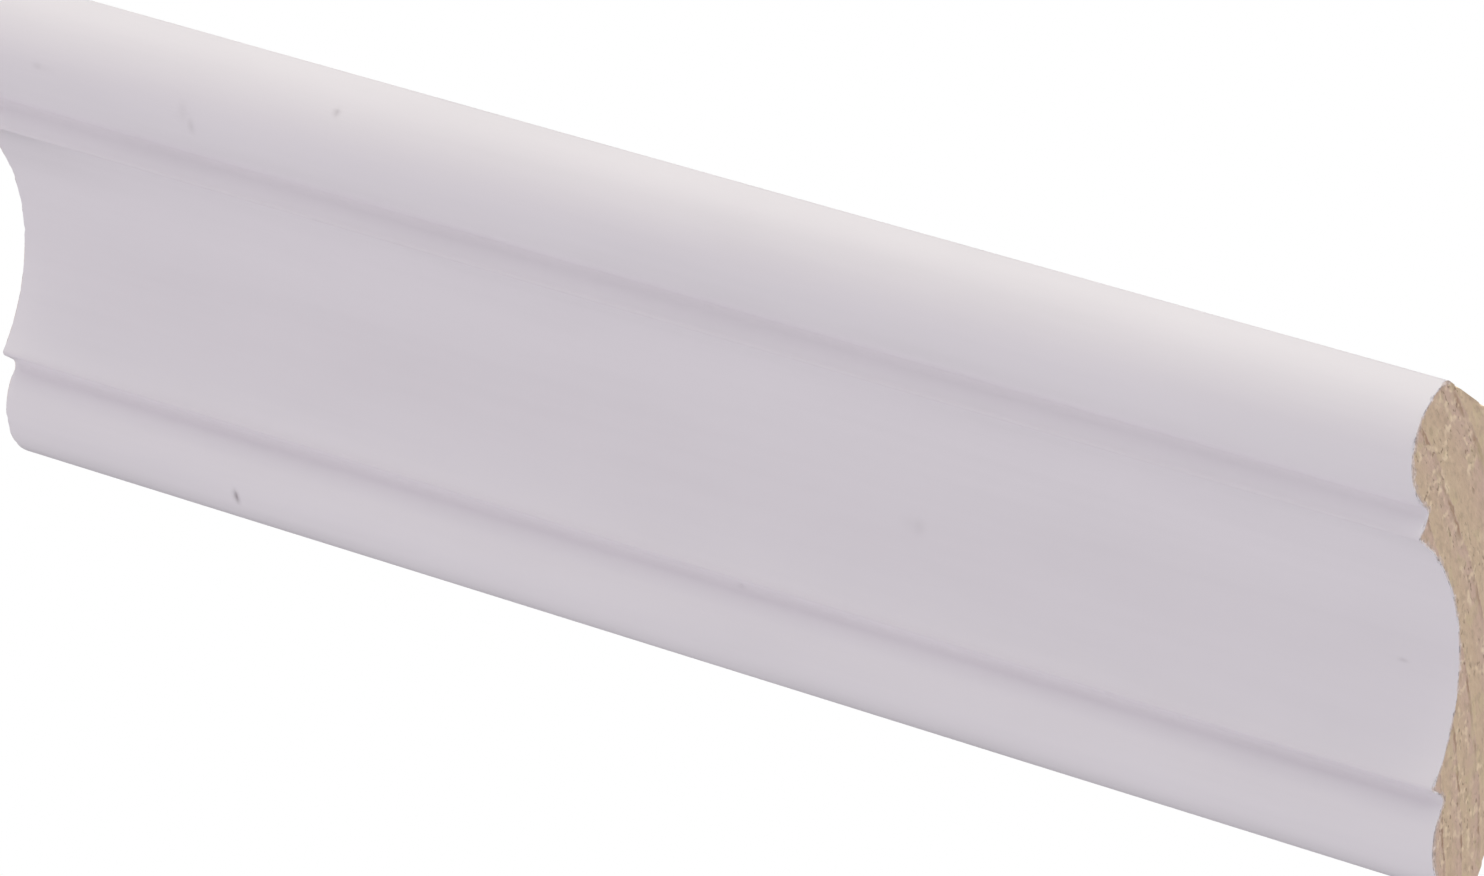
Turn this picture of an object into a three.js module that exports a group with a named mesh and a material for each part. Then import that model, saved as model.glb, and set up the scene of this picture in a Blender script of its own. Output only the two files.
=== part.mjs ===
// A length of crown moulding, the painted softwood trim that covers the corner between a wall
// and a ceiling. It is one solid piece: a profile run along the length and sawn square at both ends.
//
// The profile is drawn flat first: x is the depth behind the front plane, and y is the height
// along that plane, from 0 at the ceiling nose down to -FACE_WIDTH at the wall nose.
// It reads bead, groove, cove, groove, bead, the same from either nose. The length is then leaned
// by the spring angle into its place: +X along the length, +Y into the wall, +Z up to the ceiling,
// with the origin at the middle of the face that lies against the wall.
import * as THREE from "three";

// Driving dimensions, in millimetres, and one angle in degrees.
const LENGTH = 220; // between the two sawn ends
const FACE_WIDTH = 70; // from the ceiling nose to the wall nose
const THICKNESS = 21; // from the front plane to the back flat
const SPRING_ANGLE = 45; // between the back flat and the wall
const BEAD_RADIUS = 8.4; // of the round bead at each nose
const GROOVE_DEPTH = 2.9; // of the groove beside each bead, behind the front plane
const GROOVE_FLOOR = 0.9; // width of the groove's flat floor
const GROOVE_SLOPE = 2.1; // height over which the groove climbs to the edge of the cove
const COVE_EDGE_DEPTH = 0.6; // of the cove's two sharp edges, behind the front plane
const COVE_DEPTH = 8; // of the middle of the cove, behind the front plane
const ARC_SEGMENTS = 16; // half the number of flat strips in each round stretch

const PAINT_COLOUR = 0xded9dc;
const PAINT_ROUGHNESS = 0.5;

const spring = THREE.MathUtils.degToRad(SPRING_ANGLE);

// Depth that is left for the bevels, from a nose to the back flat.
const bevelDepth = THICKNESS - BEAD_RADIUS;
// Heights of the two bevels along the back: the ceiling's and the wall's are at right angles.
const ceilingBevelHeight = bevelDepth * Math.tan(spring);
const wallBevelHeight = bevelDepth / Math.tan(spring);

// A bead turns from its nose over the front until it reaches the depth of the groove.
const beadTurn = Math.acos(1 - GROOVE_DEPTH / BEAD_RADIUS);
const beadHeight = BEAD_RADIUS * (1 + Math.sin(beadTurn));
const grooveEnd = beadHeight + GROOVE_FLOOR;
const coveEdge = grooveEnd + GROOVE_SLOPE;

// The cove is one arc between its two edges, centred in front of the moulding at mid-height.
const coveHalfChord = FACE_WIDTH / 2 - coveEdge;
const coveRise = COVE_DEPTH - COVE_EDGE_DEPTH;
const coveRadius = (coveHalfChord ** 2 + coveRise ** 2) / (2 * coveRise);
const coveTurn = Math.asin(coveHalfChord / coveRadius);

// The outline, from the ceiling nose down the front to the wall nose and back up behind.
function profileShape() {
  const shape = new THREE.Shape();
  const quarter = Math.PI / 2;
  shape.absarc(BEAD_RADIUS, -BEAD_RADIUS, BEAD_RADIUS, quarter, 2 * quarter + beadTurn, false);
  shape.lineTo(GROOVE_DEPTH, -grooveEnd);
  shape.absarc(COVE_DEPTH - coveRadius, -FACE_WIDTH / 2, coveRadius, coveTurn, -coveTurn, true);
  shape.lineTo(GROOVE_DEPTH, grooveEnd - FACE_WIDTH);
  shape.absarc(
    BEAD_RADIUS,
    BEAD_RADIUS - FACE_WIDTH,
    BEAD_RADIUS,
    2 * quarter - beadTurn,
    3 * quarter,
    false,
  );
  shape.lineTo(THICKNESS, wallBevelHeight - FACE_WIDTH);
  shape.lineTo(THICKNESS, -ceilingBevelHeight);
  return shape;
}

// The profile run along the length, with its middle at the origin of the length.
function mouldingGeometry() {
  const geometry = new THREE.ExtrudeGeometry(profileShape(), {
    depth: LENGTH,
    bevelEnabled: false,
    curveSegments: ARC_SEGMENTS,
  });
  return geometry.translate(0, 0, -LENGTH / 2);
}

const paint = new THREE.MeshStandardMaterial({
  name: "white_paint",
  color: PAINT_COLOUR,
  roughness: PAINT_ROUGHNESS,
  metalness: 0,
});

const moulding = new THREE.Mesh(mouldingGeometry(), paint);
moulding.name = "moulding_length";
// The middle of the wall bevel comes to the origin before the piece is leaned.
moulding.position.set(
  -(BEAD_RADIUS + bevelDepth / 2),
  FACE_WIDTH - wallBevelHeight / 2,
  0,
);

// The lean turns the depth towards the wall and the ceiling, and the height up and into the room.
const depthDirection = new THREE.Vector3(0, Math.cos(spring), Math.sin(spring));
const heightDirection = new THREE.Vector3(0, -Math.sin(spring), Math.cos(spring));
const lengthDirection = new THREE.Vector3(1, 0, 0);

const crownMoulding = new THREE.Group();
crownMoulding.name = "crown_moulding";
crownMoulding.add(moulding);
crownMoulding.quaternion.setFromRotationMatrix(
  new THREE.Matrix4().makeBasis(depthDirection, heightDirection, lengthDirection),
);

export default crownMoulding;
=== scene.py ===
# %% [markdown]
# # A length of crown moulding
# Crown moulding covers the corner between a wall and a ceiling. This one is a single length of
# pine: a machine ran its profile, the front was sprayed white, and a saw cut it square at both ends.
# Little makes it look real, so each thing counts: crisp lines along the profile that the paint
# rounds a little, bare end grain with a thin edge of paint round it, and a few small flaws.
#
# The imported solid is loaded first, as a fixed frame, and it stays as it is. Everything made below
# goes where its coordinates say: X along the length, Y into the wall and Z up to the ceiling.

# %% Load the solid part
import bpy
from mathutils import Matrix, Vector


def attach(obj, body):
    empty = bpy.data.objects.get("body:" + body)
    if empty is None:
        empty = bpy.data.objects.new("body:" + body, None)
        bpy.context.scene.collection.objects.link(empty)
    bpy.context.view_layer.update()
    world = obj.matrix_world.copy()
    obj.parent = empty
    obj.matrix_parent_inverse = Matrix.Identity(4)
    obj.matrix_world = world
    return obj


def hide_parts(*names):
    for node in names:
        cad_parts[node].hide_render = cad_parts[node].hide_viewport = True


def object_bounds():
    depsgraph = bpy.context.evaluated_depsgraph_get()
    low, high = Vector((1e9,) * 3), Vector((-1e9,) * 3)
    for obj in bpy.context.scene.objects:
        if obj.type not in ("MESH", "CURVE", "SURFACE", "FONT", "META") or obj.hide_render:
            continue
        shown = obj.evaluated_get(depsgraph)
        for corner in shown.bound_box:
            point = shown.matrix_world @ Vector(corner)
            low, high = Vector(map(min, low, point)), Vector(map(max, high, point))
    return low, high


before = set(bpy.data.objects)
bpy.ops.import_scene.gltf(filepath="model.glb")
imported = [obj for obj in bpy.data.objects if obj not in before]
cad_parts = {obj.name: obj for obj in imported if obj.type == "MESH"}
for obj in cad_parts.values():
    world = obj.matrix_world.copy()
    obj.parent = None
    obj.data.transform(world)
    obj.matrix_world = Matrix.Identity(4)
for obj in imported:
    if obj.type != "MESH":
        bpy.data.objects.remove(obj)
cad_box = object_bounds()
print("solid moulding from", cad_box[0][:], "to", cad_box[1][:])

# %% Other modules
import math

import bmesh
import bpy
from mathutils import Vector
from mathutils.kdtree import KDTree

# %% [markdown]
# ## The sizes
# The finished piece repeats the sizes of the solid, so that it fills the same space. Only the
# length is read from the frame. The section is measured on the flat: a depth behind the front
# plane, and a height that runs from 0 at the ceiling nose down to minus the width of the face at
# the wall nose. `place` leans such a point by the spring angle, to where it is once it is fitted.

# %% Sizes of the section
MM = 0.001
LENGTH = cad_box[1].x - cad_box[0].x
FACE_WIDTH = 70 * MM
THICKNESS = 21 * MM
SPRING_ANGLE = math.radians(45)
BEAD_RADIUS = 8.4 * MM
GROOVE_DEPTH = 2.9 * MM
GROOVE_FLOOR = 0.9 * MM
GROOVE_SLOPE = 2.1 * MM
COVE_EDGE_DEPTH = 0.6 * MM
COVE_DEPTH = 8 * MM

bevel_depth = THICKNESS - BEAD_RADIUS
ceiling_bevel = bevel_depth * math.tan(SPRING_ANGLE)
wall_bevel = bevel_depth / math.tan(SPRING_ANGLE)
bead_turn = math.acos(1 - GROOVE_DEPTH / BEAD_RADIUS)
groove_start = BEAD_RADIUS * (1 + math.sin(bead_turn))
groove_end = groove_start + GROOVE_FLOOR
cove_edge = groove_end + GROOVE_SLOPE
cove_half_chord = FACE_WIDTH / 2 - cove_edge
cove_rise = COVE_DEPTH - COVE_EDGE_DEPTH
cove_radius = (cove_half_chord**2 + cove_rise**2) / (2 * cove_rise)
cove_turn = math.asin(cove_half_chord / cove_radius)

# %% Lean the section into its place
LENGTH_WAY = Vector((1, 0, 0))
DEPTH_WAY = Vector((0, math.cos(SPRING_ANGLE), math.sin(SPRING_ANGLE)))
HEIGHT_WAY = Vector((0, -math.sin(SPRING_ANGLE), math.cos(SPRING_ANGLE)))
origin_depth = BEAD_RADIUS + bevel_depth / 2
origin_height = wall_bevel / 2 - FACE_WIDTH


def place(depth, height, along=-LENGTH / 2):
    """Where a point of the section is on the fitted piece. It is at the left end unless told."""
    return (depth - origin_depth) * DEPTH_WAY + (height - origin_height) * HEIGHT_WAY + along * LENGTH_WAY


def on_the_flat(point):
    """The depth and the height of a point of the fitted piece, the other way round from place."""
    return point.dot(DEPTH_WAY) + origin_depth, point.dot(HEIGHT_WAY) + origin_height


print("cove radius", round(cove_radius / MM, 2), "mm, flat back",
      round((FACE_WIDTH - ceiling_bevel - wall_bevel) / MM, 1), "mm wide")

# %% [markdown]
# ## Camera
# The photo was taken through a long lens, from about 1.25 m away and from the right of the piece,
# with its front upright in the picture. On the fitted piece that is a camera which looks slightly
# up and is rolled to one side. It comes first, because each later choice is seen in it.

# %% Set the camera
CAMERA_PLACE = Vector((0.68843, -1.07648, -0.14493))
CAMERA_AIM = Vector((0.011539, -0.033624, 0.012835))
CAMERA_ROLL = math.radians(21.2)
LENS_MM = 248.8
SENSOR_MM = 36
NEAREST_SEEN = 0.05
FARTHEST_SEEN = 50

bpy.ops.object.select_all(action="DESELECT")
line_of_sight = CAMERA_AIM - CAMERA_PLACE
bpy.ops.object.camera_add(location=CAMERA_PLACE, rotation=line_of_sight.to_track_quat("-Z", "Y").to_euler())
camera = bpy.context.object
camera.name = "photo_camera"
camera.rotation_euler.rotate_axis("Z", CAMERA_ROLL)
camera.data.lens = LENS_MM
camera.data.sensor_width = SENSOR_MM
camera.data.clip_start = NEAREST_SEEN
camera.data.clip_end = FARTHEST_SEEN
bpy.context.scene.camera = camera
print("camera", round(line_of_sight.length, 3), "m from the front, lens", LENS_MM, "mm")

# %% [markdown]
# ## Light
# The studio is white all round, so the paint has almost no shadow: only the grooves darken a
# little, because they see less of the room. Most light comes from high up in front, and some comes
# back up from a white table below. One large soft lamp hangs above and brightens the top of the
# ceiling bead, and a weaker one stands low in front, towards the far end. Three more can't reach
# the front at all: one on each side lights a sawn end, and one behind lights the back. The camera
# sees pure white behind the piece, as in the photo, so camera rays get their own background.

# %% Helpers to lay out nodes
def add_node(tree, kind, **settings):
    """A new shader node of a kind, with its settings."""
    node = tree.nodes.new("ShaderNode" + kind)
    for name, value in settings.items():
        setattr(node, name, value)
    return node


def feed(tree, source, socket):
    """Gives a socket either a link or a constant."""
    if isinstance(source, bpy.types.NodeSocket):
        tree.links.new(source, socket)
    else:
        socket.default_value = source


def maths(tree, operation, first, second=0.0, clamp=False):
    """The result of a Math node on two sockets or numbers."""
    node = add_node(tree, "Math", operation=operation, use_clamp=clamp)
    feed(tree, first, node.inputs[0])
    feed(tree, second, node.inputs[1])
    return node.outputs[0]


def blend_colours(tree, amount, first, second):
    """The first colour where the amount is 0 and the second where it is 1."""
    node = add_node(tree, "Mix", data_type="RGBA")
    feed(tree, amount, node.inputs["Factor"])
    feed(tree, first, node.inputs[6])
    feed(tree, second, node.inputs[7])
    return node.outputs[2]


def ramp_between(tree, value, low, high, start=0.0, end=1.0):
    """A value that goes smoothly from start to end while the input goes from low to high."""
    node = add_node(tree, "MapRange", interpolation_type="SMOOTHSTEP")
    given = (("Value", value), ("From Min", low), ("From Max", high), ("To Min", start), ("To Max", end))
    for name, source in given:
        feed(tree, source, node.inputs[name])
    return node.outputs["Result"]


def vector_maths(tree, operation, first, second=(0, 0, 0)):
    """The node of a Vector Math on two sockets or vectors."""
    node = add_node(tree, "VectorMath", operation=operation)
    feed(tree, first, node.inputs[0])
    feed(tree, second, node.inputs[1])
    return node


# %% White studio world
ROOM_SIDES = (
    ("high in front", HEIGHT_WAY, 1, (1.23, 1.255, 1.235)),
    ("the white table", Vector((0, 0, -1)), 4, (1.69, 1.696, 1.7)),
)
BACKDROP_WHITE = (1, 1, 1, 1)

world = bpy.data.worlds.new("white_studio")
bpy.context.scene.world = world
world.use_nodes = True
sky = world.node_tree
sky.nodes.clear()
direction = add_node(sky, "TexCoord").outputs["Generated"]
light = (0, 0, 0)
for side, way, narrowness, colour in ROOM_SIDES:
    facing = vector_maths(sky, "DOT_PRODUCT", direction, way).outputs["Value"]
    share = vector_maths(sky, "SCALE", colour)
    feed(sky, maths(sky, "POWER", maths(sky, "MAXIMUM", facing, 0.0), narrowness), share.inputs["Scale"])
    light = vector_maths(sky, "ADD", light, share.outputs["Vector"]).outputs["Vector"]
    print("light from", side, colour)
room = add_node(sky, "Background")
feed(sky, light, room.inputs["Color"])
backdrop = add_node(sky, "Background")
backdrop.inputs["Color"].default_value = BACKDROP_WHITE
rays = add_node(sky, "LightPath")
chosen = add_node(sky, "MixShader")
feed(sky, rays.outputs["Is Camera Ray"], chosen.inputs["Fac"])
feed(sky, room.outputs["Background"], chosen.inputs[1])
feed(sky, backdrop.outputs["Background"], chosen.inputs[2])
feed(sky, chosen.outputs["Shader"], add_node(sky, "OutputWorld").inputs["Surface"])
bpy.context.scene.view_settings.view_transform = "Standard"
print("world", world.name, "seen through the", bpy.context.scene.view_settings.view_transform, "view")

# %% Five soft lamps
LAMPS = (
    ("soft_lamp_above", Vector((0, -0.576, 0.817)), 4.0, 2.2, 50.0, (0.483, 0.449, 0.285)),
    ("soft_lamp_in_front", Vector((-0.5, -0.8, -0.5)).normalized(), 1.6, 1.2, 8.0, (0.382, 0.33, 0.36)),
    ("soft_lamp_right", Vector((0.9, 0.35, 0.25)).normalized(), 1.6, 1.2, 9.6, (1, 0.98, 0.97)),
    ("soft_lamp_left", Vector((-0.9, 0.35, 0.25)).normalized(), 1.6, 1.2, 7.0, (1, 1, 1)),
    ("soft_lamp_behind", Vector((0, 0.85, 0.53)).normalized(), 4.0, 2.2, 65.0, (1, 1, 1)),
)
for name, way, distance, size, power, colour in LAMPS:
    turn = (-way).to_track_quat("-Z", "Y").to_euler()
    bpy.ops.object.light_add(type="AREA", location=way * distance, rotation=turn)
    lamp = bpy.context.object
    lamp.name = name
    lamp.data.size = size
    lamp.data.energy = power
    lamp.data.color = colour
    lamp.visible_camera = False
    print(name, size, "m wide,", distance, "m away")

# %% [markdown]
# ## Floor
# A crown moulding belongs at the top of a room, so the floor is as far below it as in a room and
# the photo's view, which looks up, doesn't reach it. It is a wide pale plane. Seen by the camera it
# glows nearly as white as the backdrop, so that no hard line shows where the two meet. The light
# from below is the white table's, which is part of the room, so the floor takes no part in it.

# %% Pale floor
CEILING_HEIGHT = 2.4
FLOOR_WIDTH = 40
FLOOR_PALE = (0.8, 0.8, 0.8, 1)
FLOOR_GLOW = 0.85

bpy.ops.mesh.primitive_plane_add(size=FLOOR_WIDTH, location=(0, 0, -CEILING_HEIGHT))
bpy.ops.object.transform_apply(location=True, rotation=True, scale=True)
floor = bpy.context.object
floor.name = "studio_floor"
floor.visible_diffuse = False
floor.visible_glossy = False
floor.visible_shadow = False
pale = bpy.data.materials.new("pale_floor")
pale.use_nodes = True
tree = pale.node_tree
tree.nodes.clear()
matt = add_node(tree, "BsdfDiffuse")
matt.inputs["Color"].default_value = FLOOR_PALE
glow = add_node(tree, "Emission")
glow.inputs["Color"].default_value = BACKDROP_WHITE
seen = maths(tree, "MULTIPLY", add_node(tree, "LightPath").outputs["Is Camera Ray"], FLOOR_GLOW)
shown = add_node(tree, "MixShader")
feed(tree, seen, shown.inputs["Fac"])
feed(tree, matt.outputs["BSDF"], shown.inputs[1])
feed(tree, glow.outputs["Emission"], shown.inputs[2])
feed(tree, shown.outputs["Shader"], add_node(tree, "OutputMaterial").inputs["Surface"])
floor.data.materials.append(pale)
print("floor", CEILING_HEIGHT, "m below the ceiling")

# %% [markdown]
# ## Drawing the section
# In the mill, a knife ground to this outline cuts the whole profile in one pass. The same line is
# drawn here the way a hand would draw it in edit mode: one point is placed at the ceiling nose,
# spun round for the beads and the cove, and extruded for the straight stretches, until it is back
# where it began. A curve object could do it too, but spin gives true arcs with even steps, and
# the steps decide how fine the finished mesh is.

# %% Place the first point
bpy.ops.object.select_all(action="DESELECT")
bpy.ops.mesh.primitive_plane_add(size=MM, location=place(BEAD_RADIUS, 0))
bpy.ops.object.transform_apply(location=True, rotation=True, scale=True)
moulding = bpy.context.object
moulding.name = "painted_moulding"
bpy.ops.object.mode_set(mode="EDIT")
bpy.ops.mesh.select_mode(type="VERT")
bpy.ops.mesh.merge(type="CENTER")
print("first point at", [round(side / MM, 2) for side in place(BEAD_RADIUS, 0)], "mm")

# %% Two drawing moves
ARC_STEP = 0.6 * MM
BACK_STEP = 0.9 * MM
SAME_POINT = 0.01 * MM


def draw_to(depth, height, step=ARC_STEP):
    """Extrudes the last point in even steps, straight to a place of the section."""
    outline = bmesh.from_edit_mesh(moulding.data)
    last = next(point for point in outline.verts if point.select)
    whole = place(depth, height) - last.co
    steps = max(1, round(whole.length / step))
    for _ in range(steps):
        bpy.ops.mesh.extrude_region_move(TRANSFORM_OT_translate={"value": whole / steps})


def turn_about(depth, height, angle, radius):
    """Spins the last point round a centre. A positive angle turns it from depth towards height."""
    steps = round(abs(angle) * radius / ARC_STEP)
    bpy.ops.mesh.spin(steps=steps, angle=-angle, center=place(depth, height), axis=LENGTH_WAY)


# %% Draw the outline
quarter = math.pi / 2
turn_about(BEAD_RADIUS, -BEAD_RADIUS, quarter + bead_turn, BEAD_RADIUS)
draw_to(GROOVE_DEPTH, -groove_end)
draw_to(COVE_EDGE_DEPTH, -cove_edge)
turn_about(COVE_DEPTH - cove_radius, -FACE_WIDTH / 2, -2 * cove_turn, cove_radius)
draw_to(GROOVE_DEPTH, groove_end - FACE_WIDTH)
draw_to(GROOVE_DEPTH, groove_start - FACE_WIDTH)
turn_about(BEAD_RADIUS, BEAD_RADIUS - FACE_WIDTH, quarter + bead_turn, BEAD_RADIUS)
draw_to(THICKNESS, wall_bevel - FACE_WIDTH, BACK_STEP)
draw_to(THICKNESS, -ceiling_bevel, BACK_STEP)
draw_to(BEAD_RADIUS, 0, BACK_STEP)
bpy.ops.mesh.select_all(action="SELECT")
bpy.ops.mesh.remove_doubles(threshold=SAME_POINT)
bpy.ops.mesh.edge_face_add()
outline = bmesh.from_edit_mesh(moulding.data)
print("outline of", len(outline.verts), "points, face area",
      round(outline.faces[0].calc_area() / MM**2, 1), "mm2")
bpy.ops.object.mode_set(mode="OBJECT")

# %% [markdown]
# ## Softening the lines
# Where two cuts of the knife meet they leave a sharp line, and the paint runs back from it and
# rounds it a little. A vertex bevel on the flat section does this before there is any length, so
# each line comes out rounded from end to end. The bare corners at the back keep more of their edge.

# %% Select by place
def shape_in_hand():
    """The mesh that is being edited."""
    return bmesh.from_edit_mesh(moulding.data)


def pick(kind, wanted):
    """Deselects all, then selects the verts, edges or faces for which wanted is true. Returns how many."""
    bpy.ops.mesh.select_mode(type=kind)
    bpy.ops.mesh.select_all(action="DESELECT")
    shape = shape_in_hand()
    parts = {"VERT": shape.verts, "EDGE": shape.edges, "FACE": shape.faces}[kind]
    found = [part for part in parts if wanted(part)]
    for part in found:
        part.select_set(True)
    bmesh.update_edit_mesh(moulding.data)
    return len(found)


# %% Round the corners of the section
ROUNDING = 5
AT_A_CORNER = 0.02 * MM
CORNERS = (
    ("nose", BEAD_RADIUS, 0, 0.45 * MM),
    ("bead meets groove", GROOVE_DEPTH, -groove_start, 0.42 * MM),
    ("groove floor", GROOVE_DEPTH, -groove_end, 0.42 * MM),
    ("edge of the cove", COVE_EDGE_DEPTH, -cove_edge, 0.55 * MM),
    ("back corner", THICKNESS, -ceiling_bevel, 0.2 * MM),
)

bpy.ops.object.mode_set(mode="EDIT")
for name, depth, height, reach in CORNERS:
    corners = (place(depth, height), place(depth, -FACE_WIDTH - height))
    found = pick("VERT", lambda point: min((point.co - corner).length for corner in corners) < AT_A_CORNER)
    bpy.ops.mesh.bevel(affect="VERTICES", offset=reach, segments=ROUNDING, clamp_overlap=False)
    print("rounded", name, "at", found, "places")

# %% More points along the front
LONG_EDGE = 0.3 * MM


def long_front_edge(edge):
    """True for the edges of the section that the spray reaches and that are still long."""
    depths = [on_the_flat(point.co)[0] for point in edge.verts]
    return max(depths) < BEAD_RADIUS + LONG_EDGE and edge.calc_length() > LONG_EDGE


found = pick("EDGE", long_front_edge)
bpy.ops.mesh.subdivide(number_cuts=1)
print("divided", found, "edges of the front, now", len(shape_in_hand().verts), "points")

# %% [markdown]
# ## The sawn end
# The saw leaves the bare end of the wood, and round the front a thin line of paint, cut through.
# An inset gives that line its own ring of faces. The wood inside it is cut into small cells with
# bisect, so that the torn fibres can later be real relief and not only shading.

# %% Ring of paint and cells of end grain
PAINT_EDGE = 0.25 * MM
CELL = 0.45 * MM
PAINT_SLOT, END_SLOT, BACK_SLOT = range(3)

for name in ("white_paint", "sawn_end_grain", "planed_pine"):
    moulding.data.materials.append(bpy.data.materials.new(name))
pick("FACE", lambda face: True)
bpy.ops.mesh.inset(thickness=PAINT_EDGE)
moulding.active_material_index = END_SLOT
bpy.ops.object.material_slot_assign()


def score(way, first, last):
    """Cuts the cells of the end grain along parallel lines, from the first distance to the last."""
    cuts = int((last - first) / CELL)
    for number in range(1, cuts):
        bpy.ops.mesh.select_all(action="DESELECT")
        bpy.ops.object.material_slot_select()
        bpy.ops.mesh.bisect(plane_co=way * (first + CELL * number), plane_no=way)


score(HEIGHT_WAY, -FACE_WIDTH - origin_height, -origin_height)
score(DEPTH_WAY, -origin_depth, THICKNESS - origin_depth)
print("end grain in", sum(face.material_index == END_SLOT for face in shape_in_hand().faces), "cells")

# %% [markdown]
# ## The length
# The end is modelled once and copied to the other end, turned to face outwards. Between them the
# outer line of the section is extruded step by step. The steps are short near the two cuts, where
# the paint chips, and longer in the middle, where nothing changes but a faint waviness.

# %% Copy the end and extrude between
NEAR_STEPS = (0.3, 0.4, 0.5, 0.7, 1.0, 1.4, 2.0)
MIDDLE_STEP = 2.5 * MM
TOUCHING = 0.005 * MM

bpy.ops.mesh.select_all(action="SELECT")
bpy.ops.mesh.duplicate_move(TRANSFORM_OT_translate={"value": LENGTH_WAY * LENGTH})
bpy.ops.mesh.flip_normals()
pick("FACE", lambda face: face.calc_center_median().x < 0)
bpy.ops.mesh.region_to_loop()
near = [step * MM for step in NEAR_STEPS]
middle = LENGTH - 2 * sum(near)
middle_steps = round(middle / MIDDLE_STEP)
for step in near + [middle / middle_steps] * middle_steps + near[::-1]:
    bpy.ops.mesh.extrude_edges_move(TRANSFORM_OT_translate={"value": LENGTH_WAY * step})
bpy.ops.mesh.select_all(action="SELECT")
bpy.ops.mesh.remove_doubles(threshold=TOUCHING)
bpy.ops.mesh.normals_make_consistent(inside=False)
open_edges = sum(not edge.is_manifold for edge in shape_in_hand().edges)
print(len(shape_in_hand().faces), "faces,", open_edges, "open edges, volume",
      round(shape_in_hand().calc_volume(signed=True) / MM**3), "mm3")

# %% [markdown]
# ## Which face has which finish
# The spray reached the front and stopped at the two noses. So a long face is painted when it turns
# away from the back, and the ring at each end is painted where it follows the front. The bevels
# and the flat back stay bare, because they are against the ceiling, the wall and the air.

# %% Sort the faces by finish
FACES_AN_END = 0.9
PAINT_TURNS_IN = 0.5
BARE_RIM = 0.3 * MM
ceiling_plane = cad_box[1].z


def is_end(face):
    return abs(face.normal.x) > FACES_AN_END


def near_bare_side(point):
    """True along the two bevels and the back, where the cut edge has no paint."""
    depth, _ = on_the_flat(point)
    return (point.z > ceiling_plane - BARE_RIM or point.y > cad_box[1].y - BARE_RIM
            or depth > THICKNESS - BARE_RIM)


pick("FACE", lambda face: not is_end(face) and face.normal.dot(DEPTH_WAY) > PAINT_TURNS_IN)
moulding.active_material_index = BACK_SLOT
bpy.ops.object.material_slot_assign()
pick("FACE", lambda face: is_end(face) and near_bare_side(face.calc_center_median()))
moulding.active_material_index = END_SLOT
bpy.ops.object.material_slot_assign()
for slot, material in enumerate(moulding.data.materials):
    area = sum(face.calc_area() for face in shape_in_hand().faces if face.material_index == slot)
    print(material.name, "covers", round(area / MM**2), "mm2")

# %% [markdown]
# ## Marks in the paint
# The photo shows a handful of small flaws: a knock in the wall bead, a faint smudge on the ceiling
# bead, and a few specks. Each is pressed in as by hand: the faces round it are subdivided,
# and the nearest point is moved in with proportional editing, which takes its neighbours along.
# What darkens the paint there is kept as an amount on each point, which the paint reads later.

# %% Press one mark
MARK_CUTS = 5
MARK_REACH = 0.8
COARSE_FACE = 0.2 * MM**2
STAIN_REACH = 3
STAIN_FADES = 2


def press_mark(from_right, depth, height, wide, tall, sink, stain):
    """Presses a mark in, with its place, sizes and depth in millimetres, and stains the points there."""
    spot = place(depth * MM, height * MM, LENGTH / 2 - from_right * MM)
    size = max(wide, tall) * MM

    def coarse_here(face):
        away = face.calc_center_median() - spot
        beside = abs(away.x) < MIDDLE_STEP / 2 + size / 2 and away.yz.length < MARK_REACH * MM + size / 2
        return beside and not is_end(face) and face.calc_area() > COARSE_FACE

    pick("FACE", coarse_here)
    bpy.ops.mesh.subdivide(number_cuts=MARK_CUTS)
    presses = max(1, round(tall / wide))
    for number in range(presses):
        down = (number - (presses - 1) / 2) * wide * MM
        here = spot - HEIGHT_WAY * down
        nearest = min(shape_in_hand().verts, key=lambda point: (point.co - here).length)
        inwards = -nearest.normal * sink * MM
        pick("VERT", lambda point: point == nearest)
        bpy.ops.transform.translate(value=inwards, use_proportional_edit=True,
                                    proportional_edit_falloff="SMOOTH", proportional_size=wide * MM)
    shape = shape_in_hand()
    stains = shape.verts.layers.float.get("stain") or shape.verts.layers.float.new("stain")
    for point in shape.verts:
        away = point.co - spot
        if away.length < STAIN_REACH * size:
            spread = (away.x / (wide * MM)) ** 2 + (away.dot(HEIGHT_WAY) / (tall * MM)) ** 2
            point[stains] = max(point[stains], stain * math.exp(-STAIN_FADES * spread))
    print("mark", wide, "x", tall, "mm at", from_right, "mm from the right end")


# %% Press all the marks
press_mark(182.0, 0.06, -62.85, wide=0.5, tall=1.3, sink=0.16, stain=0.8)
press_mark(182.1, 0.1, -8.7, wide=0.7, tall=1.5, sink=0.03, stain=0.16)
press_mark(183.3, 0.1, -7.1, wide=0.9, tall=2.0, sink=0.03, stain=0.08)
press_mark(207.0, 0.22, -6.48, wide=1.1, tall=0.6, sink=0.02, stain=0.12)
press_mark(160.0, 2.53, -2.40, wide=0.6, tall=0.5, sink=0.05, stain=0.3)
press_mark(78.0, 7.11, -41.46, wide=1.4, tall=1.4, sink=0.04, stain=0.1)
press_mark(7.8, 7.47, -40.01, wide=0.9, tall=0.35, sink=0.03, stain=0.2)
press_mark(103.0, 2.90, -54.73, wide=0.6, tall=0.6, sink=0.05, stain=0.12)
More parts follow.
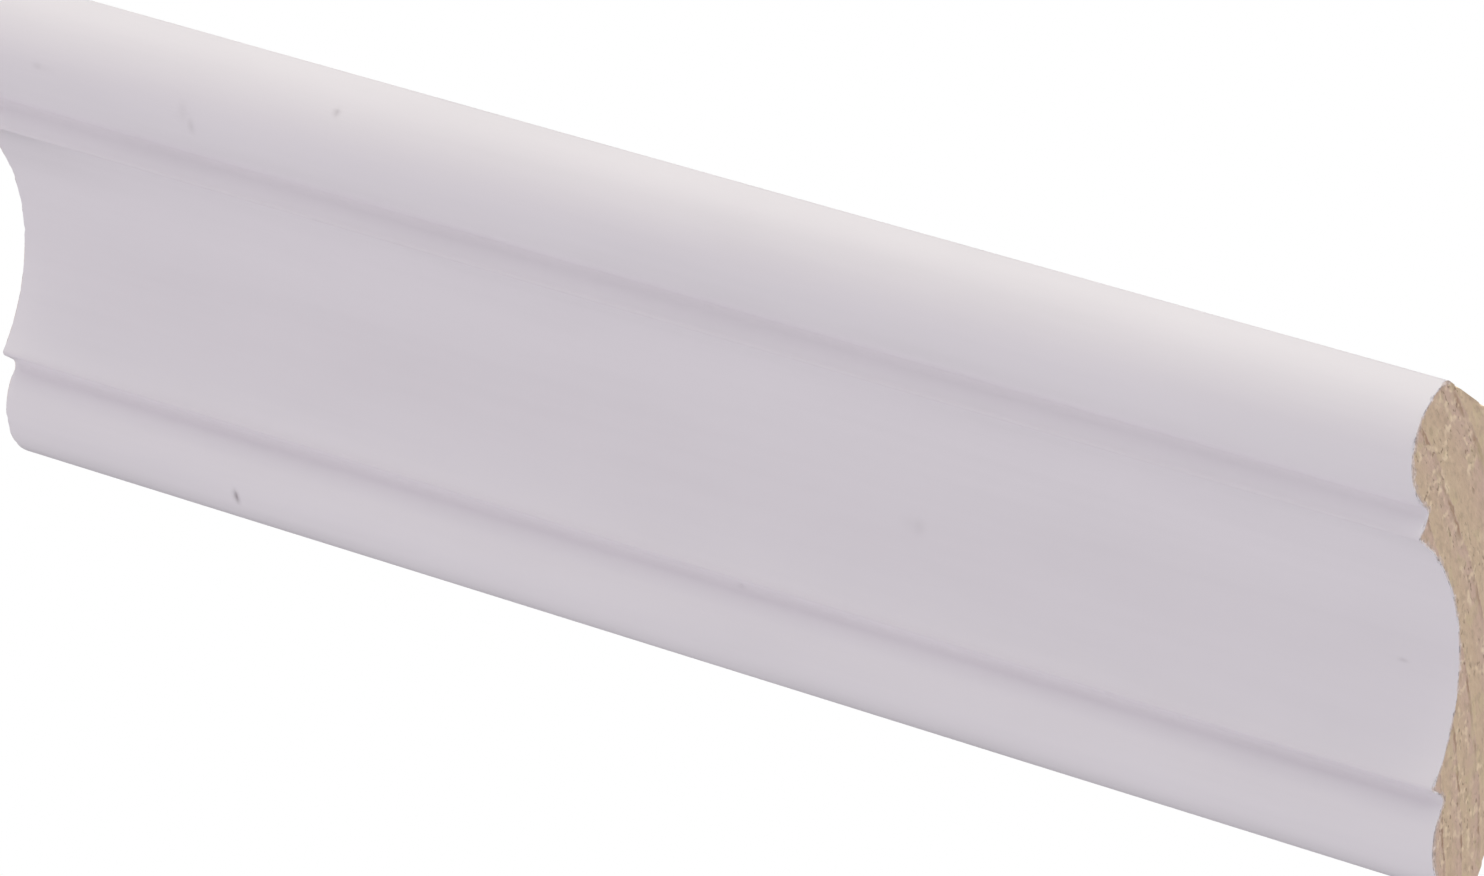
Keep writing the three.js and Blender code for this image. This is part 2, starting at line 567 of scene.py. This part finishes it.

# %% [markdown]
# ## Painted shade on the lips, and soaked wood
# The two lips between the cove and the grooves get a painted shade: their paint is a shade darker,
# to tone down the light line that their rounding catches. Round the sawn ends the paint has soaked a
# little way into the wood, further on the two beads, which stand out most. Both amounts are kept on
# each point, as with the marks, because a finish can read them there wherever the pattern of the
# wood may run.

# %% Points of the ends and of the long faces
def points_of(wanted):
    """The numbers of all points that belong to a face for which wanted is true."""
    return {corner for face in moulding.data.polygons if wanted(face) for corner in face.vertices}


bpy.ops.object.mode_set(mode="OBJECT")
end_points = points_of(is_end)
long_points = points_of(lambda face: not is_end(face))
cut_points = end_points & long_points
print(len(end_points), "points in the ends,", len(long_points), "in the long faces,",
      len(cut_points), "in both")

# %% Where the painted shade on the lips lies
LIP_REACH = 0.7 * MM

lips = [place(COVE_EDGE_DEPTH, height).yz for height in (-cove_edge, cove_edge - FACE_WIDTH)]
# Painted shade: the paint colour darkens towards the two lips, to tone down the light line along their
# rounding.
painted_shade_on_lips = moulding.data.attributes.new("painted_shade_on_lips", "FLOAT", "POINT")
for number, point in enumerate(moulding.data.vertices):
    distance = min((point.co.yz - lip).length for lip in lips)
    painted_shade_on_lips.data[number].value = math.exp(-((distance / LIP_REACH) ** 2))
print(len(lips), "lips with thin paint")

# %% How far the paint soaked in
SOAK_REACH = 1.1 * MM
SOAK_REACH_IN_FRONT = 2.1 * MM
FRONT_OF_BEAD = 3 * MM

painted_points = points_of(lambda face: not is_end(face) and face.material_index == PAINT_SLOT)
painted_cut = [moulding.data.vertices[number].co for number in cut_points & painted_points]
edge_finder = KDTree(len(painted_cut))
for number, point in enumerate(painted_cut):
    edge_finder.insert(point, number)
edge_finder.balance()
soaked_in = moulding.data.attributes.new("soaked", "FLOAT", "POINT")
for number in end_points:
    point = moulding.data.vertices[number].co
    distance = edge_finder.find(point)[2]
    in_front = max(0.0, 1.0 - on_the_flat(point)[0] / FRONT_OF_BEAD)
    reach = SOAK_REACH + in_front * (SOAK_REACH_IN_FRONT - SOAK_REACH)
    soaked_in.data[number].value = max(0.0, 1.0 - distance / reach)
print("soaked in along", len(painted_cut), "points of the cut")

# %% [markdown]
# ## Relief from mill and saw
# Three Displace modifiers give the piece its real surface. Long shallow waves run with the grain,
# as a mill leaves them. The sawn fibres stand up and sink in. Along the cut the paint has broken
# off in tiny chips, shallower at the left end. All three only push inwards, because the solid's
# size is the real one. Each acts on its own vertex group, and an empty stretches its pattern.

# %% Groups of points for the relief
CLEAN_CUT = 0.3     # how deep the chips of the left end are, next to those of the right end


def add_group(name, points, weight=1.0):
    group = moulding.vertex_groups.get(name) or moulding.vertex_groups.new(name=name)
    group.add(list(points), weight, "REPLACE")
    print(name, "has", len(points), "points more")


right_cut = {number for number in cut_points if moulding.data.vertices[number].co.x > 0}
add_group("run_of_the_mill", long_points)
add_group("sawn_fibres", end_points - long_points)
add_group("cut_line", right_cut)
add_group("cut_line", cut_points - right_cut, CLEAN_CUT)


# %% Relief, one layer after the other
def press_relief(group, depth, stretch, deepest=0.0, untouched=1.0, detail=2):
    """Displaces one group inwards, by up to a depth, in a cloud pattern stretched by three sizes.

    Clouds under the deepest value go in all the way, and those over the untouched one stay."""
    clouds = bpy.data.textures.new(group, "CLOUDS")
    clouds.noise_scale = 1.0
    clouds.noise_depth = detail
    clouds.use_color_ramp = True
    low, high = clouds.color_ramp.elements
    low.position, low.color = deepest, (0, 0, 0, 1)
    high.position, high.color = untouched, (1, 1, 1, 1)
    bpy.ops.object.select_all(action="DESELECT")
    bpy.ops.object.empty_add()
    stretcher = bpy.context.object
    stretcher.scale = stretch
    bpy.context.view_layer.objects.active = moulding
    bpy.ops.object.modifier_add(type="DISPLACE")
    relief = moulding.modifiers[-1]
    relief.texture = clouds
    relief.texture_coords = "OBJECT"
    relief.texture_coords_object = stretcher
    relief.vertex_group = group
    relief.strength = depth
    relief.mid_level = 1.0
    before = [point.co.copy() for point in moulding.data.vertices]
    bpy.ops.object.modifier_apply(modifier=relief.name)
    moves = [(point.co - old).length for point, old in zip(moulding.data.vertices, before)]
    bpy.data.objects.remove(stretcher)
    print(group, "moved by up to", round(max(moves) / MM, 3), "mm")


press_relief("run_of_the_mill", depth=0.06 * MM, stretch=(0.09, 0.012, 0.012))
press_relief("sawn_fibres", depth=0.16 * MM, stretch=(0.02, 0.0011, 0.0011), detail=3)
press_relief("cut_line", depth=0.34 * MM, stretch=(0.01, 0.0021, 0.0021),
             deepest=0.3, untouched=0.48, detail=3)

# %% [markdown]
# ## Where a point was in the tree
# A tree grows in rings round its heart, which lay about ten centimetres in front of this piece. So
# all its grain is drawn in the tree's own measures: along the stem, out from the heart, and round
# it. One small node group works these out from the object's coordinates for all the others.

# %% Helpers to make node groups
def new_group(name, inputs, outputs):
    """An empty shader node group with named sockets, and its input and output nodes."""
    group = bpy.data.node_groups.new(name, "ShaderNodeTree")
    for socket, default in inputs:
        made = group.interface.new_socket(name=socket, in_out="INPUT", socket_type="NodeSocketFloat")
        made.default_value = default
    for socket, kind in outputs:
        group.interface.new_socket(name=socket, in_out="OUTPUT", socket_type="NodeSocket" + kind)
    return group, group.nodes.new("NodeGroupInput"), group.nodes.new("NodeGroupOutput")


def use_group(tree, group, **values):
    """Places a node group in a node tree, with values for its inputs."""
    node = add_node(tree, "Group", node_tree=group)
    for name, value in values.items():
        feed(tree, value, node.inputs[name])
    return node


def combine(tree, *parts):
    node = add_node(tree, "CombineXYZ")
    for source, socket in zip(parts, node.inputs):
        feed(tree, source, socket)
    return node.outputs["Vector"]


# %% Node group for the place in the tree
HEART_DEPTH = -100.8 * MM
HEART_HEIGHT = -57.2 * MM
MIDDLE_RADIUS = 115 * MM

in_tree, _, result = new_group(
    "place_in_the_tree", inputs=(), outputs=(("Place", "Vector"), ("From Heart", "Float")))
heart = place(HEART_DEPTH, HEART_HEIGHT, 0)
from_heart = vector_maths(in_tree, "SUBTRACT", add_node(in_tree, "TexCoord").outputs["Object"], heart)
sides = add_node(in_tree, "SeparateXYZ")
feed(in_tree, from_heart.outputs["Vector"], sides.inputs["Vector"])
crossways = combine(in_tree, 0.0, sides.outputs["Y"], sides.outputs["Z"])
out = vector_maths(in_tree, "LENGTH", crossways).outputs["Value"]
angle = maths(in_tree, "ARCTAN2", sides.outputs["Z"], sides.outputs["Y"])
around = maths(in_tree, "MULTIPLY", angle, MIDDLE_RADIUS)
feed(in_tree, combine(in_tree, sides.outputs["X"], out, around), result.inputs["Place"])
feed(in_tree, out, result.inputs["From Heart"])
print("heart of the tree at", [round(side / MM, 1) for side in heart], "mm")

# %% [markdown]
# ## The fibres, shared by paint and wood
# Wood is a bundle of fibres that run along the stem. Cut across, they are specks. Cut along, they
# are streaks. One noise, stretched by three sizes, gives both. So it is a node group too, which the
# bare wood, the rings and the paint all use, each with sizes of its own.

# %% Node group for the fibres
NOISE_MIDDLE = 0.5

fibres, given, result = new_group(
    "fibres", outputs=(("Amount", "Float"),),
    inputs=(("Along", 8 * MM), ("Out", 0.8 * MM), ("Around", 0.8 * MM), ("Detail", 3.0)))
sizes = combine(fibres, given.outputs["Along"], given.outputs["Out"], given.outputs["Around"])
shrunk = vector_maths(fibres, "DIVIDE", use_group(fibres, in_tree).outputs["Place"], sizes)
noise = add_node(fibres, "TexNoise")
noise.inputs["Scale"].default_value = 1.0
feed(fibres, shrunk.outputs["Vector"], noise.inputs["Vector"])
feed(fibres, given.outputs["Detail"], noise.inputs["Detail"])
feed(fibres, noise.outputs["Fac"], result.inputs["Amount"])
print("node group", fibres.name)


def specks(tree, along, out, around, detail=3.0):
    """The fibres group in a node tree, with its three sizes in millimetres."""
    node = use_group(tree, fibres, Along=along * MM, Out=out * MM, Around=around * MM, Detail=detail)
    return node.outputs["Amount"]


# %% [markdown]
# ## The growth rings
# On the sawn end the rings cross from top to bottom as gently curved lines, and on the back they
# run along as the grain. The distance from the heart, bent by a broad noise and roughened by a fine
# one, is turned into a ring number by a curve with one point for each ring, at the distances that
# the sawn end shows. The part after the decimal point says how far a place is through its year: pale
# and soft in spring, pinkish and denser later, with a thin brown line where the year ends.

# %% Node group for the rings
RING_RADII = [radius * MM for radius in (94.5, 99, 103.6, 107.5, 111.5, 116.4, 123.9, 130, 135.5)]
RING_WOBBLE = 0.7 * MM
RING_TREMBLE = 0.3 * MM
BROAD_BENDS = (120, 8, 11, 2.0)
FINE_BENDS = (80, 1.2, 1.3, 2.0)

rings, _, result = new_group("growth_rings", inputs=(), outputs=(("Year", "Float"),))
bend = maths(rings, "SUBTRACT", specks(rings, *BROAD_BENDS), NOISE_MIDDLE)
tremble = maths(rings, "SUBTRACT", specks(rings, *FINE_BENDS), NOISE_MIDDLE)
radius = use_group(rings, in_tree).outputs["From Heart"]
radius = maths(rings, "ADD", radius, maths(rings, "MULTIPLY", bend, 2 * RING_WOBBLE))
radius = maths(rings, "ADD", radius, maths(rings, "MULTIPLY", tremble, 2 * RING_TREMBLE))
first_ring = RING_RADII[0]
last_number = len(RING_RADII) - 1
reach = RING_RADII[-1] - first_ring
counter = add_node(rings, "FloatCurve")
line = counter.mapping.curves[0]
for number, ring in enumerate(RING_RADII[1:-1], start=1):
    line.points.new((ring - first_ring) / reach, number / last_number)
for point in line.points:
    point.handle_type = "VECTOR"
counter.mapping.update()
outwards = maths(rings, "DIVIDE", maths(rings, "SUBTRACT", radius, first_ring), reach, clamp=True)
feed(rings, outwards, counter.inputs["Value"])
year = maths(rings, "FRACT", maths(rings, "MULTIPLY", counter.outputs["Value"], last_number))
feed(rings, year, result.inputs["Year"])
print("node group", rings.name, "with", len(RING_RADII), "rings")

# %% [markdown]
# ## Colours as the camera sees them
# The picture's values are what the room's light makes of a surface, so a surface colour is the seen
# colour, made linear, and divided by the light of the room. Each finish then names its colours, its
# patterns and where they show. A pattern is its sizes along the stem, out from the heart and round
# it, in millimetres, and its detail. Where it shows is the noise value at which it starts and the
# one at which it is full, and then, where they aren't 0 and 1, how much of it there is at both.

# %% From a seen colour to a surface colour
ROOM_LIGHT = 0.74


def surface(*seen):
    """The surface colour that is seen as these three values, from 0 to 255, in the light of the room."""
    linear = [((value / 255 + 0.055) / 1.055) ** 2.4 for value in seen]
    return [value / ROOM_LIGHT for value in linear] + [1]


def new_finish(name, roughness):
    """The node tree of a material with a Principled shader of one roughness, and that shader."""
    material = bpy.data.materials[name]
    material.use_nodes = True
    tree = material.node_tree
    tree.nodes.clear()
    shader = add_node(tree, "BsdfPrincipled")
    shader.inputs["Roughness"].default_value = roughness
    feed(tree, shader.outputs["BSDF"], add_node(tree, "OutputMaterial").inputs["Surface"])
    return tree, shader


def bump_from(tree, shader, height, distance, strength):
    """Feeds a height to the shader's normal, as a bump of a real distance."""
    bump = add_node(tree, "Bump")
    bump.inputs["Strength"].default_value = strength
    bump.inputs["Distance"].default_value = distance
    feed(tree, height, bump.inputs["Height"])
    feed(tree, bump.outputs["Normal"], shader.inputs["Normal"])


def ramp_of(tree, value, *stops):
    """A colour from a ramp, with stops given as position and colour."""
    node = add_node(tree, "ValToRGB")
    elements = node.color_ramp.elements
    while len(elements) < len(stops):
        elements.new(1.0)
    for element, (position, colour) in zip(elements, stops):
        element.position = position
        element.color = colour
    feed(tree, value, node.inputs["Fac"])
    return node.outputs["Color"]


# %% [markdown]
# ## White paint
# A sprayed undercoat: satin, very slightly lilac, and thin enough that the grain shows through as
# faint streaks. A fine orange peel comes from the spray. The marks pressed in before are darker, and
# the two lips carry a painted shade. The rim of cut paint is worn down to the wood in places, and in
# others holds some of the saw's dirt, which is also painted shade along the cut.

# %% Colours and patterns of the paint
PAINT = surface(202.5, 197, 203.5)
PAINT_THIN = surface(200.5, 195, 201.5)
PAINT_THICK = surface(204, 198.5, 205)
# Dark colour of the stains in the marks, also used as the painted shade along the cut.
STAIN_AND_SHADE = surface(120, 110, 116)
# The paint on the two lips, a shade darker as painted shade.
PAINT_SHADED_ON_LIP = surface(199, 192.5, 199.5)
WORN_RIM = surface(193, 180, 178)
PAINT_ROUGHNESS = 0.5
PAINT_STREAKS = (60, 1.6, 1.6)
PAINT_PATCHES = (30, 9, 9, 2.0)
ORANGE_PEEL = (1.3, 0.9, 0.9, 2.0)
WORN_PLACES = (20, 2.2, 3.0, 2.0)
# Patches near the cut that get saw grime and painted shade of the burr and the chips.
DIRT_AND_SHADE_PLACES = (20, 0.7, 1.0, 2.0)
CUT_RIM = (0.66, 0.78)
WORN = (0.56, 0.46)
DIRT_AND_SHADE = (0.5, 0.66, 0.0, 0.6)
SATIN = (0.3, 0.7, 0.46, 0.56)
STREAKS_SHARE = 0.3
COATS = ((0.3, PAINT_THIN), (0.5, PAINT), (0.7, PAINT_THICK))
PEEL_HEIGHT = 0.015 * MM
PEEL_STRENGTH = 0.5
print("white paint", [round(value, 2) for value in PAINT[:3]])

# %% Make the white paint
tree, shader = new_finish("white_paint", PAINT_ROUGHNESS)
streaks = specks(tree, *PAINT_STREAKS)
patches = specks(tree, *PAINT_PATCHES)
peel = specks(tree, *ORANGE_PEEL)
coat = maths(tree, "ADD", maths(tree, "MULTIPLY", streaks, STREAKS_SHARE),
             maths(tree, "MULTIPLY", patches, 1 - STREAKS_SHARE))
coat_colour = ramp_of(tree, coat, *COATS)
lip_shade_amount = add_node(tree, "Attribute", attribute_name="painted_shade_on_lips").outputs["Fac"]
# Painted shade along the two lips.
coat_colour = blend_colours(tree, lip_shade_amount, coat_colour, PAINT_SHADED_ON_LIP)
stain = add_node(tree, "Attribute", attribute_name="stain").outputs["Fac"]
soaked = add_node(tree, "Attribute", attribute_name="soaked").outputs["Fac"]
rim = ramp_between(tree, soaked, *CUT_RIM)
worn_places = ramp_between(tree, specks(tree, *WORN_PLACES), *WORN)
coat_colour = blend_colours(tree, maths(tree, "MULTIPLY", rim, worn_places), coat_colour, WORN_RIM)
# Near the cut the paint darkens in patches: partly saw grime, partly painted shade of the burr and the
# chips.
grime_and_painted_shade = maths(tree, "MULTIPLY", rim, ramp_between(tree, specks(tree, *DIRT_AND_SHADE_PLACES), *DIRT_AND_SHADE))
darkened = maths(tree, "MAXIMUM", stain, grime_and_painted_shade)
feed(tree, blend_colours(tree, darkened, coat_colour, STAIN_AND_SHADE), shader.inputs["Base Color"])
feed(tree, ramp_between(tree, patches, *SATIN), shader.inputs["Roughness"])
bump_from(tree, shader, maths(tree, "ADD", peel, streaks), PEEL_HEIGHT, PEEL_STRENGTH)
print("white paint of", len(tree.nodes), "nodes")

# %% [markdown]
# ## Sawn end grain
# The saw tears the fibres, so the end is matt and blotched, calm in some places and rough in
# others, with the growth rings under it. The torn fibres are paler and the pits darker, partly in
# their own tone and partly as painted highlight and painted shade on their relief. Round the front
# the soaked wood is grey, with crumbs of paint and broken bits in it, which follows the amount of
# `soaked` that each point was given.

# %% Colours of the end grain
SPRING_WOOD = surface(193, 171, 147)
SUMMER_WOOD = surface(190, 166, 145)
AUTUMN_WOOD = surface(190, 164, 150)
YEAR_LINE = surface(158, 129, 110)
YELLOW_WOOD = surface(190, 174, 142)
# Pits: their own darker tone, and painted shade.
PIT_DARK_AND_SHADED = surface(138, 112, 95)
# Torn fibres: their own paler tone, and painted highlight.
TORN_FIBRE_PALE_AND_HIGHLIT = surface(218, 199, 175)
MOTTLE_DARK = surface(170, 147, 127)
SOAKED_WOOD = surface(184, 166, 161)
PAINT_CRUMB = surface(216, 202, 199)
BROKEN_EDGE = surface(146, 124, 114)
print("end grain", [round(value, 2) for value in SUMMER_WOOD[:3]])

# %% Patterns of the end grain
SAWN_ROUGHNESS = 0.85
FINE_FIBRES = (4, 0.28, 0.4, 2.0)
SAW_STROKES = (10, 0.5, 1.1, 1.0)
BLOTCHES = (10, 0.95, 1.4, 1.5)
ROUGH_PLACES = (20, 3.2, 4.5, 1.0)
YELLOW_PLACES = (20, 1.6, 2.8, 1.0)
MOTTLE = (12, 0.9, 1.7, 3.0)
CRUMBS = (12, 0.5, 0.8, 2.0)
ROUGH = (0.42, 0.6, 0.2, 1.0)
YELLOWED = (0.55, 0.72, 0.0, 0.5)
MOTTLED = (0.52, 0.3, 0.0, 0.6)
PITTED = (0.42, 0.27)
TORN = (0.48, 0.7)
SOAKED = (0.4, 0.75)
CRUMBLED = (0.54, 0.66, 0.0, 0.8)
BROKEN = (0.46, 0.34, 0.0, 0.6)
PITS_SHOW = 0.75
FIBRES_SHOW = 0.75
SOAK_SHOWS = 0.8
SOAK_RAGGED = 1.2
TORN_HEIGHT = 0.15 * MM
TORN_STRENGTH = 0.6
print("seven patterns, the finest", min(FINE_FIBRES), "mm wide")

# %% Helper for the colour of a year
MIDSUMMER = 0.4
AUTUMN = 0.78
LINE_RISES = (0.82, 0.94)
LINE_STOPS = (1.0, 0.965)
FADING_PLACES = (60, 2.0, 5, 2.0)
FADED = (0.4, 0.6, 0.1, 1.0)


def wood_colour(tree, spring, summer, autumn, year_end):
    """The colour of a growth ring, through its year. The line at its end is fainter in places."""
    year = use_group(tree, rings).outputs["Year"]
    wood = ramp_of(tree, year, (0.0, spring), (MIDSUMMER, summer), (AUTUMN, autumn))
    rise = ramp_between(tree, year, *LINE_RISES)
    line = maths(tree, "MULTIPLY", rise, ramp_between(tree, year, *LINE_STOPS))
    fading = ramp_between(tree, specks(tree, *FADING_PLACES), *FADED)
    return blend_colours(tree, maths(tree, "MULTIPLY", line, fading), wood, year_end)


# %% Make the end grain
tree, shader = new_finish("sawn_end_grain", SAWN_ROUGHNESS)
fine = specks(tree, *FINE_FIBRES)
strokes = specks(tree, *SAW_STROKES)
blotches = specks(tree, *BLOTCHES)
rough_places = ramp_between(tree, specks(tree, *ROUGH_PLACES), *ROUGH)
wood = wood_colour(tree, SPRING_WOOD, SUMMER_WOOD, AUTUMN_WOOD, YEAR_LINE)
wood = blend_colours(tree, ramp_between(tree, specks(tree, *YELLOW_PLACES), *YELLOWED), wood, YELLOW_WOOD)
wood = blend_colours(tree, ramp_between(tree, specks(tree, *MOTTLE), *MOTTLED), wood, MOTTLE_DARK)
# Pits darker and torn fibres paler: partly their own tone, partly painted shade and painted highlight on
# the relief that the bump below gives them.
pits = maths(tree, "MULTIPLY", ramp_between(tree, strokes, *PITTED), rough_places)
wood = blend_colours(tree, maths(tree, "MULTIPLY", pits, PITS_SHOW), wood, PIT_DARK_AND_SHADED)
torn = maths(tree, "MULTIPLY", ramp_between(tree, blotches, *TORN), rough_places)
wood = blend_colours(tree, maths(tree, "MULTIPLY", torn, FIBRES_SHOW), wood, TORN_FIBRE_PALE_AND_HIGHLIT)
soaked = add_node(tree, "Attribute", attribute_name="soaked").outputs["Fac"]
uneven = maths(tree, "MULTIPLY", maths(tree, "SUBTRACT", blotches, NOISE_MIDDLE), SOAK_RAGGED)
in_soaked = ramp_between(tree, maths(tree, "ADD", soaked, uneven), *SOAKED)
wood = blend_colours(tree, maths(tree, "MULTIPLY", in_soaked, SOAK_SHOWS), wood, SOAKED_WOOD)
crumbs = specks(tree, *CRUMBS)
for where, colour in ((CRUMBLED, PAINT_CRUMB), (BROKEN, BROKEN_EDGE)):
    amount = maths(tree, "MULTIPLY", ramp_between(tree, crumbs, *where), in_soaked)
    wood = blend_colours(tree, amount, wood, colour)
feed(tree, wood, shader.inputs["Base Color"])
torn_height = maths(tree, "ADD", maths(tree, "SUBTRACT", blotches, pits), fine)
bump_from(tree, shader, torn_height, TORN_HEIGHT, TORN_STRENGTH)
print("end grain of", len(tree.nodes), "nodes")

# %% [markdown]
# ## Planed pine
# The bevels and the back are as the planer left them: smooth, with the grain along the length. Next
# to the two noses a little spray has drifted round the corner and fades out within a few millimetres.

# %% Colours and patterns of the pine
PLANED_SPRING = surface(207, 187, 153)
PLANED_SUMMER = surface(203, 180, 144)
PLANED_AUTUMN = surface(197, 169, 131)
PLANED_LINE = surface(176, 140, 101)
PORE_DARK = surface(170, 138, 102)
PINE_PALE = surface(213, 195, 164)
PLANED_ROUGHNESS = 0.6
PORES = (16, 0.3, 0.3)
PINE_STREAKS = (110, 1.0, 1.0)
TONES = (150, 5, 5, 2.0)
STREAKED = (0.5, 0.3, 0.0, 0.45)
PORED = (0.46, 0.3, 0.0, 0.5)
PALER = (0.45, 0.7, 0.0, 0.5)
SPRAY_DRIFT = (2.6 * MM, 0.2 * MM)
SPRAY_UNEVEN = 3 * MM
PORE_HEIGHT = 0.04 * MM
PORE_STRENGTH = 0.5
print("planed pine", [round(value, 2) for value in PLANED_SPRING[:3]])

# %% Make the planed pine
tree, shader = new_finish("planed_pine", PLANED_ROUGHNESS)
pores = specks(tree, *PORES)
pine = wood_colour(tree, PLANED_SPRING, PLANED_SUMMER, PLANED_AUTUMN, PLANED_LINE)
pine = blend_colours(tree, ramp_between(tree, specks(tree, *PINE_STREAKS), *STREAKED), pine, PLANED_LINE)
pine = blend_colours(tree, ramp_between(tree, pores, *PORED), pine, PORE_DARK)
pine = blend_colours(tree, ramp_between(tree, specks(tree, *TONES), *PALER), pine, PINE_PALE)
here = add_node(tree, "TexCoord").outputs["Object"]
from_noses = []
for nose in (place(BEAD_RADIUS, 0, 0), place(BEAD_RADIUS, -FACE_WIDTH, 0)):
    away = vector_maths(tree, "SUBTRACT", here, nose).outputs["Vector"]
    flat = vector_maths(tree, "MULTIPLY", away, (0, 1, 1)).outputs["Vector"]
    from_noses.append(vector_maths(tree, "LENGTH", flat).outputs["Value"])
uneven = maths(tree, "MULTIPLY", maths(tree, "SUBTRACT", pores, NOISE_MIDDLE), SPRAY_UNEVEN)
from_nose = maths(tree, "ADD", maths(tree, "MINIMUM", *from_noses), uneven)
spray = ramp_between(tree, from_nose, *SPRAY_DRIFT)
feed(tree, blend_colours(tree, spray, pine, PAINT), shader.inputs["Base Color"])
bump_from(tree, shader, pores, PORE_HEIGHT, PORE_STRENGTH)
print("planed pine of", len(tree.nodes), "nodes")

# %% [markdown]
# ## Taking the place of the solid
# Curved faces are shaded smooth and the two cuts keep their sharp edge. The piece then rides on the
# root body, and the solid whose place it takes is hidden.

# %% Smooth shading
SHARPEST_SMOOTH = math.radians(32)
bpy.ops.object.select_all(action="DESELECT")
moulding.select_set(True)
bpy.context.view_layer.objects.active = moulding
bpy.ops.object.shade_smooth_by_angle(angle=SHARPEST_SMOOTH)
triangles = sum(len(face.vertices) - 2 for face in moulding.data.polygons)
print(triangles, "triangles in", moulding.name)

# %% Take the place of the solid
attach(moulding, "root")
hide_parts("moulding_length")

bpy.context.view_layer.update()
